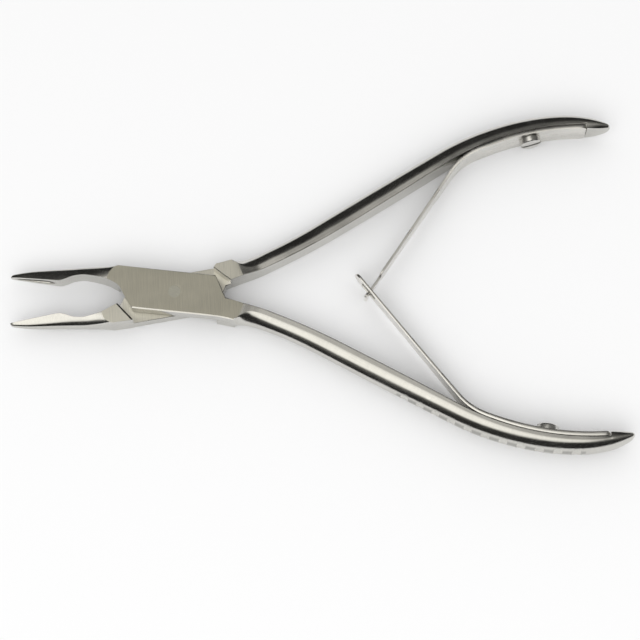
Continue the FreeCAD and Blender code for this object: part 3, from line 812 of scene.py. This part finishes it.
screw_lower = make_screw("LowerScrew", FRONT_ARM)
screw_upper = make_screw("UpperScrew", REAR_ARM)
rivet = turned("PivotRivet", RIVET_PROFILE)
crease(rivet, RIVET_CREASE)
for piece, body, node, steel in (
    (screw_lower, "front_arm", "screw_lower", "screw_steel"),
    (screw_upper, "rear_arm", "screw_upper", "screw_steel"),
    (rivet, "front_arm", "pivot_rivet", "rivet_steel"),
):
    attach(piece, body)
    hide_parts(node)

# ---------------------------------------------------------------- camera
# It looks down at the joint's top, tilted and rolled; the pivot stands off the view's centre.
CAMERA_DISTANCE = 450 * MM
CAMERA_TILT = math.radians(18)
CAMERA_ROLL = math.radians(-2)
VIEW_WIDTH = 137.86 * MM
PIVOT_RIGHT = -31.38 * MM
PIVOT_UP = 6.18 * MM
JOINT_TOP = Vector((0, 0, DEPTH * MM))
CLIP_START = 0.01

away = Vector((0, -math.sin(CAMERA_TILT), math.cos(CAMERA_TILT)))
level = Vector((1, 0, 0))
upward = away.cross(level)
right = math.cos(CAMERA_ROLL) * level + math.sin(CAMERA_ROLL) * upward
up = math.cos(CAMERA_ROLL) * upward - math.sin(CAMERA_ROLL) * level
eye = JOINT_TOP - PIVOT_RIGHT * right - PIVOT_UP * up + CAMERA_DISTANCE * away
camera_data = bpy.data.cameras.new("Camera")
camera_data.angle = 2 * math.atan(VIEW_WIDTH / 2 / CAMERA_DISTANCE)
camera_data.clip_start = CLIP_START
camera = bpy.data.objects.new("Camera", camera_data)
turn = Matrix((right, up, away)).transposed().to_4x4()
camera.matrix_world = Matrix.Translation(eye) @ turn
scene.collection.objects.link(camera)
scene.camera = camera

# ---------------------------------------------------------------- floor and light
FLOOR_HALF = 4.0
FLOOR_Z = -0.0002
FLOOR_GREY = 0.93
FLOOR_ROUGH = 0.9
SOFT_GREY = 0.80
# azimuth and elevation in degrees, cosines of its outer and inner edge, brightness
SKY_LOBES = (
    (-170, 77, 0.875, 0.96, 1.35),
    (180, 45, 0.70, 0.98, 0.22),
    (5, 55, 0.70, 0.98, 0.16),
)
SKY_BASE = 0.02
SKY_TINT = (1.0, 0.985, 0.94)
KEY_PLACE = (-0.15, -0.7, 1.0)
KEY_AIM = (0.03, 0, 0)
KEY_SIZE = (1.3, 1.1)
KEY_POWER = 6.0

floor_mesh = bpy.data.meshes.new("Floor")
corners = ((-1, -1), (1, -1), (1, 1), (-1, 1))
floor_mesh.from_pydata(
    [(FLOOR_HALF * x, FLOOR_HALF * y, FLOOR_Z) for x, y in corners], [], [(0, 1, 2, 3)])
floor = bpy.data.objects.new("Floor", floor_mesh)
scene.collection.objects.link(floor)
floor_paint = bpy.data.materials.new("FloorPaint")
floor_paint.use_nodes = True
shader = floor_paint.node_tree.nodes["Principled BSDF"]
shader.inputs["Base Color"].default_value = (FLOOR_GREY, FLOOR_GREY, FLOOR_GREY, 1)
shader.inputs["Roughness"].default_value = FLOOR_ROUGH
shader.inputs["Specular IOR Level"].default_value = 0.0
floor_mesh.materials.append(floor_paint)
scene.view_settings.view_transform = "Standard"

world = bpy.data.worlds.new("Studio")
world.use_nodes = True
scene.world = world
wn = world.node_tree.nodes
wl = world.node_tree.links
background = wn["Background"]
background.inputs["Strength"].default_value = 1.0
place = wn.new("ShaderNodeTexCoord")


def lobe(towards, start, stop, strength):
    """Soft bright patch of sky around a direction, from `start` to `stop` in cosine."""
    dot = wn.new("ShaderNodeVectorMath")
    dot.operation = "DOT_PRODUCT"
    wl.new(place.outputs["Generated"], dot.inputs[0])
    dot.inputs[1].default_value = Vector(towards).normalized()
    ramp = wn.new("ShaderNodeMapRange")
    ramp.interpolation_type = "SMOOTHSTEP"
    ramp.inputs["From Min"].default_value = start
    ramp.inputs["From Max"].default_value = stop
    ramp.inputs["To Min"].default_value = 0.0
    ramp.inputs["To Max"].default_value = strength
    wl.new(dot.outputs["Value"], ramp.inputs["Value"])
    return ramp.outputs["Result"]


def combine(operation, a, b):
    node = wn.new("ShaderNodeMath")
    node.operation = operation
    wl.new(a, node.inputs[0])
    if isinstance(b, float):
        node.inputs[1].default_value = b
    else:
        wl.new(b, node.inputs[1])
    return node.outputs[0]


def direction(azimuth, elevation):
    a, e = math.radians(azimuth), math.radians(elevation)
    return math.cos(e) * math.cos(a), math.cos(e) * math.sin(a), math.sin(e)


first, *others = [lobe(direction(a, e), start, stop, strength)
                  for a, e, start, stop, strength in SKY_LOBES]
sky = combine("ADD", first, SKY_BASE)
for other in others:
    sky = combine("ADD", sky, other)
warm = wn.new("ShaderNodeCombineColor")
for channel, share in zip(("Red", "Green", "Blue"), SKY_TINT):
    wl.new(combine("MULTIPLY", sky, share), warm.inputs[channel])
# Reflections see the lobes.  Everything else is lit by an even grey sky.
rays = wn.new("ShaderNodeLightPath")
pick = wn.new("ShaderNodeMix")
pick.data_type = "RGBA"
wl.new(rays.outputs["Is Glossy Ray"], pick.inputs["Factor"])
pick.inputs["A"].default_value = (SOFT_GREY, SOFT_GREY, SOFT_GREY, 1)
wl.new(warm.outputs[0], pick.inputs["B"])
wl.new(pick.outputs["Result"], background.inputs["Color"])

key = bpy.data.lights.new("KeyLight", "AREA")
key.shape = "RECTANGLE"
key.size, key.size_y = KEY_SIZE
key.energy = KEY_POWER
lamp = bpy.data.objects.new("KeyLight", key)
lamp.location = KEY_PLACE
lamp.rotation_euler = (Vector(KEY_PLACE) - Vector(KEY_AIM)).to_track_quat("Z", "Y").to_euler()
lamp.visible_glossy = False
scene.collection.objects.link(lamp)


# ---------------------------------------------------------------- materials
ARM_COLOUR = (0.60, 0.59, 0.555)
# The leaf's colour is partly its own and partly painted light, lifted to stand in for a brighter
# reflection of the floor on its faces.
LEAF_COLOUR_AND_PAINTED_LIGHT = (0.76, 0.745, 0.705)
SCREW_COLOUR = (0.64, 0.63, 0.60)
RIVET_COLOUR = (0.56, 0.55, 0.475)
WARM = (0.97, 0.945, 0.84)
# The middle of a noise's values, which is stretched over each range of tone or roughness.
NOISE = (0.3, 0.7)
RINGS = (0.2, 0.8)
NOISE_ROUGHNESS = 0.6
# Blender's measure of a convex edge, from unworn to worn.
WORN = (0.505, 0.56)
# In mm: distances from a face, places along X, and the back's edge on the grain's map.
FLAT_DEPTH = (0.012, 0.03)
LAP_FACE_DEPTH = (0.04, 0.06)
OUTER_FLAT_ENDS = (15, 17)
LAP_FACE_STARTS = (-12, -11)
LAP_FACE_ENDS = (11, 12)
GRIP_BACK = (0.9, 1.35)
# Half width of a bar between grooves, as a share of the pitch, with its soft edge.
BAR = (0.2, 0.27)
# Tones multiply a steel's colour.
FLAT_TONES = (0.86, 1.14)
HANDLE_TONES = (0.93, 1.05)
HANDLE_ROUGH = (0.13, 0.25)
CLOUD_TONES = (0.95, 1.04)
WORN_TONE = 1.12
# Painted highlight on the bars between the grip's grooves, and painted shade over the grooved
# back.
GRIP_PAINTED_HIGHLIGHT_TONE = 1.2
GRIP_PAINTED_SHADE_TONE = 0.66
GRIP_ROUGH = 0.42
LEAF_TONES = (0.9, 1.06)
LEAF_CLOUD_TONES = (0.94, 1.04)
LEAF_ROUGH = (0.2, 0.36)
TURNED_TONES = (0.88, 1.05)
FINE_WORN_TONE = 1.15
TURNING_MARKS = 0.12
SCREW_ROUGH = (0.2, 0.34)
RIVET_ROUGH = (0.36, 0.46)
ARM_RELIEF = 0.006
FINE_RELIEF = 0.004


class Steel:
    """Procedural steel: grain, blotches and edge wear worked out from the piece's own shape."""

    def __init__(self, name, colour):
        self.material = bpy.data.materials.new(name)
        self.material.use_nodes = True
        self.nodes = self.material.node_tree.nodes
        self.links = self.material.node_tree.links
        self.shader = self.nodes["Principled BSDF"]
        self.shader.inputs["Metallic"].default_value = 1.0
        coordinates = self.nodes.new("ShaderNodeTexCoord")
        self.place = coordinates.outputs["Object"]
        self.strip = coordinates.outputs["UV"]
        self.colour = colour

    def feed(self, socket, value):
        if isinstance(value, (int, float)):
            socket.default_value = value
        else:
            self.links.new(value, socket)

    def math(self, operation, a, b=0.0, c=0.0):
        node = self.nodes.new("ShaderNodeMath")
        node.operation = operation
        for socket, value in zip(node.inputs, (a, b, c)):
            self.feed(socket, value)
        return node.outputs[0]

    def ramp(self, value, start, stop, low, high):
        node = self.nodes.new("ShaderNodeMapRange")
        node.interpolation_type = "SMOOTHSTEP"
        ends = (("From Min", start), ("From Max", stop), ("To Min", low), ("To Max", high))
        for label, number in ends:
            self.feed(node.inputs[label], number)
        self.feed(node.inputs["Value"], value)
        return node.outputs["Result"]

    def blend(self, share, a, b):
        node = self.nodes.new("ShaderNodeMix")
        self.feed(node.inputs["Factor"], share)
        self.feed(node.inputs["A"], a)
        self.feed(node.inputs["B"], b)
        return node.outputs["Result"]

    def grain(self, turn, length, width, detail, seed=0.0):
        """Streaks `length` long and `width` wide (mm), running at `turn` degrees from X."""
        mapping = self.nodes.new("ShaderNodeMapping")
        mapping.vector_type = "TEXTURE"
        mapping.inputs["Rotation"].default_value = (0, 0, math.radians(turn))
        mapping.inputs["Scale"].default_value = (length * MM, width * MM, width * MM)
        mapping.inputs["Location"].default_value = (seed, seed, seed)
        self.links.new(self.place, mapping.inputs["Vector"])
        return self.noise(mapping, detail)

    def drawn(self, length, width, detail, seed=0.0):
        """Streaks that follow the piece along its length, sizes in mm."""
        mapping = self.nodes.new("ShaderNodeMapping")
        mapping.inputs["Scale"].default_value = (1 / length, 1 / width, 1.0)
        mapping.inputs["Location"].default_value = (seed, seed, seed)
        self.links.new(self.strip, mapping.inputs["Vector"])
        return self.noise(mapping, detail)

    def noise(self, mapping, detail):
        noise = self.nodes.new("ShaderNodeTexNoise")
        noise.inputs["Scale"].default_value = 1.0
        noise.inputs["Detail"].default_value = detail
        noise.inputs["Roughness"].default_value = NOISE_ROUGHNESS
        self.links.new(mapping.outputs["Vector"], noise.inputs["Vector"])
        return noise.outputs["Fac"]

    def rings(self, width):
        """Fine concentric turning marks about the piece's own Z axis."""
        parts = self.nodes.new("ShaderNodeSeparateXYZ")
        self.links.new(self.place, parts.inputs[0])
        square = self.math("ADD", self.math("POWER", parts.outputs["X"], 2.0),
                           self.math("POWER", parts.outputs["Y"], 2.0))
        radius = self.math("SQRT", square)
        wave = self.math("SINE", self.math("MULTIPLY", radius, 2 * math.pi / (width * MM)))
        return self.math("MULTIPLY_ADD", wave, 0.5, 0.5)

    def worn_edges(self):
        shape = self.nodes.new("ShaderNodeNewGeometry")
        return self.ramp(shape.outputs["Pointiness"], *WORN, 0.0, 1.0)

    def finish(self, tone, rough, height, relief, warm=None):
        """`tone` multiplies the colour, `rough` is the roughness, `height` drives a bump that
        is `relief` mm high, and `warm` is the share of the surface's yellower tint."""
        colour = self.nodes.new("ShaderNodeCombineColor")
        for channel, value, tint in zip(("Red", "Green", "Blue"), self.colour, WARM):
            base = self.math("MULTIPLY", tone, value)
            if warm:
                base = self.math("MULTIPLY", base, self.blend(warm, 1.0, tint))
            self.feed(colour.inputs[channel], base)
        self.links.new(colour.outputs[0], self.shader.inputs["Base Color"])
        self.links.new(rough, self.shader.inputs["Roughness"])
        bump = self.nodes.new("ShaderNodeBump")
        bump.inputs["Strength"].default_value = 1.0
        bump.inputs["Distance"].default_value = relief * MM
        self.links.new(height, bump.inputs["Height"])
        self.links.new(bump.outputs["Normal"], self.shader.inputs["Normal"])
        return self.material


def flats(steel):
    """1 on the joint's ground flats: its outer faces and the faces of the lap."""
    spot = steel.nodes.new("ShaderNodeSeparateXYZ")
    steel.links.new(steel.place, spot.inputs[0])

    def fade(value, ends, low, high):
        return steel.ramp(value, ends[0] * MM, ends[1] * MM, low, high)

    off = steel.math("ABSOLUTE", steel.math("SUBTRACT", spot.outputs["Z"], MIDDLE * MM))
    outer = steel.math("ABSOLUTE", steel.math("SUBTRACT", off, MIDDLE * MM))
    outer = fade(outer, FLAT_DEPTH, 1.0, 0.0)
    near = fade(spot.outputs["X"], OUTER_FLAT_ENDS, 1.0, 0.0)
    inner = fade(off, LAP_FACE_DEPTH, 1.0, 0.0)
    inner = steel.math("MULTIPLY", inner, fade(spot.outputs["X"], LAP_FACE_STARTS, 0.0, 1.0))
    inner = steel.math("MULTIPLY", inner, fade(spot.outputs["X"], LAP_FACE_ENDS, 1.0, 0.0))
    return steel.math("MAXIMUM", steel.math("MULTIPLY", outer, near), inner)


def grips(steel):
    """The grooved part of a handle's back, which gets painted shade, and the bars between its
    grooves, which get painted highlights.
    """
    parts = steel.nodes.new("ShaderNodeSeparateXYZ")
    steel.links.new(steel.strip, parts.inputs[0])
    first = GROOVE_FIRST + (HANDLE_START - HANDLE_FROM)
    from_first = steel.math("SUBTRACT", parts.outputs["X"], first - GROOVE_PITCH / 2)
    turns = steel.math("DIVIDE", from_first, GROOVE_PITCH)
    phase = steel.math("ABSOLUTE", steel.math("SUBTRACT", steel.math("FRACT", turns), 0.5))
    bar = steel.ramp(phase, *BAR, 1.0, 0.0)
    back = steel.math("MAXIMUM", steel.ramp(parts.outputs["Y"], *GRIP_BACK, 1.0, 0.0),
                      steel.math("GREATER_THAN", parts.outputs["Y"], GRIP_COLUMN * COLUMN))
    there = steel.math("MULTIPLY", steel.math("GREATER_THAN", turns, 0.0),
                       steel.math("LESS_THAN", turns, float(len(GROOVES))))
    back = steel.math("MULTIPLY", back, there)
    return back, steel.math("MULTIPLY", bar, back)


def arm_steel(name, flat_tone_and_painted_light, flat_rough, flat_warm):
    """Satin handles and jaws, with cross-ground flats at the joint, painted shade on the grip's
    grooved back and painted highlights on the bars between its grooves; a flat tone above 1
    paints light on the flats.
    """
    steel = Steel(name, ARM_COLOUR)
    flat = flats(steel)
    back, bar_mask_painted_highlight = grips(steel)
    brushed = steel.grain(92, 7.0, 0.16, 4.0)
    fine = steel.grain(88, 2.5, 0.05, 2.0, 3.0)
    polish = steel.drawn(6.0, 0.25, 3.0, 5.0)
    cross = steel.drawn(0.14, 2.2, 2.0, 7.0)
    cloud = steel.grain(20, 9.0, 6.0, 2.0, 9.0)
    worn = steel.worn_edges()

    streaks = steel.blend(0.35, brushed, fine)
    # The flats' tone times flat_tone_and_painted_light; where that is above 1, as on the rear
    # arm, it is painted light.
    flat_look = steel.ramp(streaks, *NOISE, *(flat_tone_and_painted_light * tone for tone in FLAT_TONES))
    hand_look = steel.ramp(steel.blend(0.5, polish, cross), *NOISE, *HANDLE_TONES)
    tone = steel.blend(flat, hand_look, flat_look)
    # Painted shade darkens the grooved back, then a painted highlight lightens the bars between
    # the grooves.
    tone = steel.math("MULTIPLY", tone, steel.blend(back, 1.0, GRIP_PAINTED_SHADE_TONE))
    tone = steel.blend(bar_mask_painted_highlight, tone, GRIP_PAINTED_HIGHLIGHT_TONE)
    tone = steel.math("MULTIPLY", tone, steel.ramp(cloud, *NOISE, *CLOUD_TONES))
    tone = steel.blend(steel.math("MULTIPLY", worn, 0.35), tone, WORN_TONE)

    rough_flat = steel.ramp(streaks, *NOISE, flat_rough - 0.07, flat_rough + 0.08)
    rough_hand = steel.ramp(steel.blend(0.5, polish, cloud), *NOISE, *HANDLE_ROUGH)
    rough = steel.blend(flat, rough_hand, rough_flat)
    rough = steel.blend(bar_mask_painted_highlight, rough, GRIP_ROUGH)
    rough = steel.math("SUBTRACT", rough, steel.math("MULTIPLY", worn, 0.05))

    soft = steel.math("MULTIPLY", steel.blend(0.5, polish, cross), 0.5)
    height = steel.blend(flat, soft, streaks)
    warm = steel.math("MULTIPLY", flat, flat_warm)
    return steel.finish(tone, rough, height, ARM_RELIEF, warm)


def leaf_steel(name):
    """Rolled strip, drawn along its length, its colour lighter than the arms' partly by painted
    light.
    """
    steel = Steel(name, LEAF_COLOUR_AND_PAINTED_LIGHT)
    drawn = steel.drawn(8.0, 0.14, 3.0)
    cloud = steel.drawn(6.0, 3.0, 2.0, 4.0)
    worn = steel.worn_edges()
    tone = steel.ramp(drawn, *NOISE, *LEAF_TONES)
    tone = steel.math("MULTIPLY", tone, steel.ramp(cloud, *NOISE, *LEAF_CLOUD_TONES))
    tone = steel.blend(steel.math("MULTIPLY", worn, 0.4), tone, FINE_WORN_TONE)
    rough = steel.ramp(steel.blend(0.4, drawn, cloud), *NOISE, *LEAF_ROUGH)
    return steel.finish(tone, rough, drawn, FINE_RELIEF)


def turned_steel(name, colour, roughs):
    """Lathe-turned steel with fine rings on its end faces."""
    steel = Steel(name, colour)
    marks = steel.rings(TURNING_MARKS)
    cloud = steel.grain(35, 0.9, 0.5, 3.0)
    worn = steel.worn_edges()
    mixed = steel.blend(0.7, marks, cloud)
    tone = steel.ramp(mixed, *RINGS, *TURNED_TONES)
    tone = steel.blend(steel.math("MULTIPLY", worn, 0.4), tone, FINE_WORN_TONE)
    rough = steel.ramp(mixed, *RINGS, *roughs)
    return steel.finish(tone, rough, cloud, FINE_RELIEF)


# The rear arm's flat tone of 1.18 lifts all its flats with painted light, meant for its lap,
# which lies in shade under the front arm's plate.
for piece, steel in (
    (arm_front, arm_steel("SatinSteelFront", 0.92, 0.42, 1.0)),
    (arm_rear, arm_steel("SatinSteelRearPaintedLight", 1.18, 0.38, 0.6)),
    (leaf_lower, leaf_steel("SpringSteelLowerPaintedLight")),
    (leaf_upper, leaf_steel("SpringSteelUpperPaintedLight")),
    (screw_lower, turned_steel("ScrewSteelLower", SCREW_COLOUR, SCREW_ROUGH)),
    (screw_upper, turned_steel("ScrewSteelUpper", SCREW_COLOUR, SCREW_ROUGH)),
    (rivet, turned_steel("RivetSteel", RIVET_COLOUR, RIVET_ROUGH)),
):
    piece.data.materials.clear()
    piece.data.materials.append(steel)
